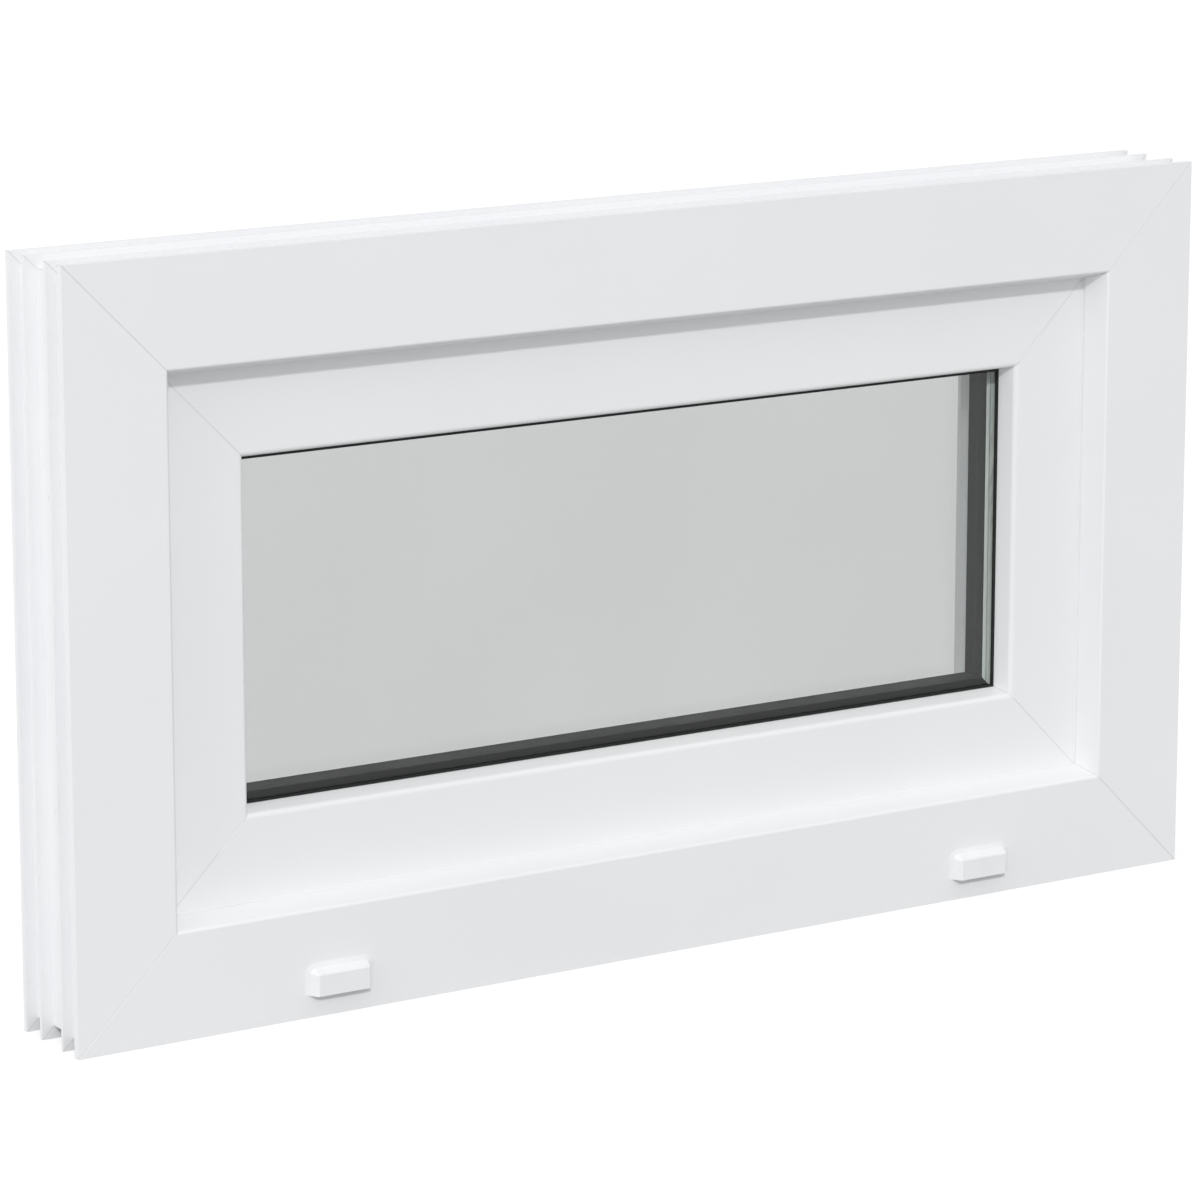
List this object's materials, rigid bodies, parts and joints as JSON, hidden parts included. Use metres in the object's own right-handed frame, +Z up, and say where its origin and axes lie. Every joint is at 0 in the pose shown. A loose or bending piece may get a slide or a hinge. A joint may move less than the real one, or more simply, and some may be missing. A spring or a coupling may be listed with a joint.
{
  "type": "basement window",
  "caption": "White plastic basement window: wide low fixed frame with a bottom-hung double-glazed sash, drain caps outside, and a handle and hinges inside.",
  "frame": {"origin": "middle of the frame's bottom edge, on the outside face", "axes": "+X along the width, to the right seen from outside; +Y from the outside face into the room; +Z up"},
  "size_m": [0.7, 0.1338, 0.4],
  "materials": {
    "frame_profile": "white extruded hard PVC, satin",
    "sash_profile": "white extruded hard PVC, satin",
    "glazing_bead": "white extruded hard PVC, satin",
    "pane_glass": "clear float glass",
    "spacer": "dark grey warm-edge spacer",
    "edge_sealant": "black edge sealant",
    "glazing_gasket": "black moulded rubber",
    "closing_seal": "light grey soft seal",
    "drain_cap": "white moulded plastic",
    "handle": "white powder coat on die-cast metal",
    "hinge_leaf": "white powder coat on steel",
    "hinge_pin": "zinc-plated steel"
  },
  "bodies": {
    "root": {"frame_head": "frame_profile", "frame_sill": "frame_profile", "frame_jamb_left": "frame_profile", "frame_jamb_right": "frame_profile", "sash_top_rail": "sash_profile", "sash_bottom_rail": "sash_profile", "sash_stile_left": "sash_profile", "sash_stile_right": "sash_profile", "glazing_bead_top": "glazing_bead", "glazing_bead_bottom": "glazing_bead", "glazing_bead_left": "glazing_bead", "glazing_bead_right": "glazing_bead", "outer_pane": "pane_glass", "inner_pane": "pane_glass", "spacer_frame": "spacer", "edge_sealant": "edge_sealant", "outer_glazing_gasket": "glazing_gasket", "inner_glazing_gasket": "glazing_gasket", "frame_seal": "closing_seal", "sash_seal": "closing_seal", "drain_cap_left": "drain_cap", "drain_cap_right": "drain_cap", "handle_rosette": "handle", "handle_lever": "handle", "hinge_left_frame_leaf": "hinge_leaf", "hinge_left_sash_leaf": "hinge_leaf", "hinge_left_pin": "hinge_pin", "hinge_right_frame_leaf": "hinge_leaf", "hinge_right_sash_leaf": "hinge_leaf", "hinge_right_pin": "hinge_pin"}
  },
  "joints": []
}
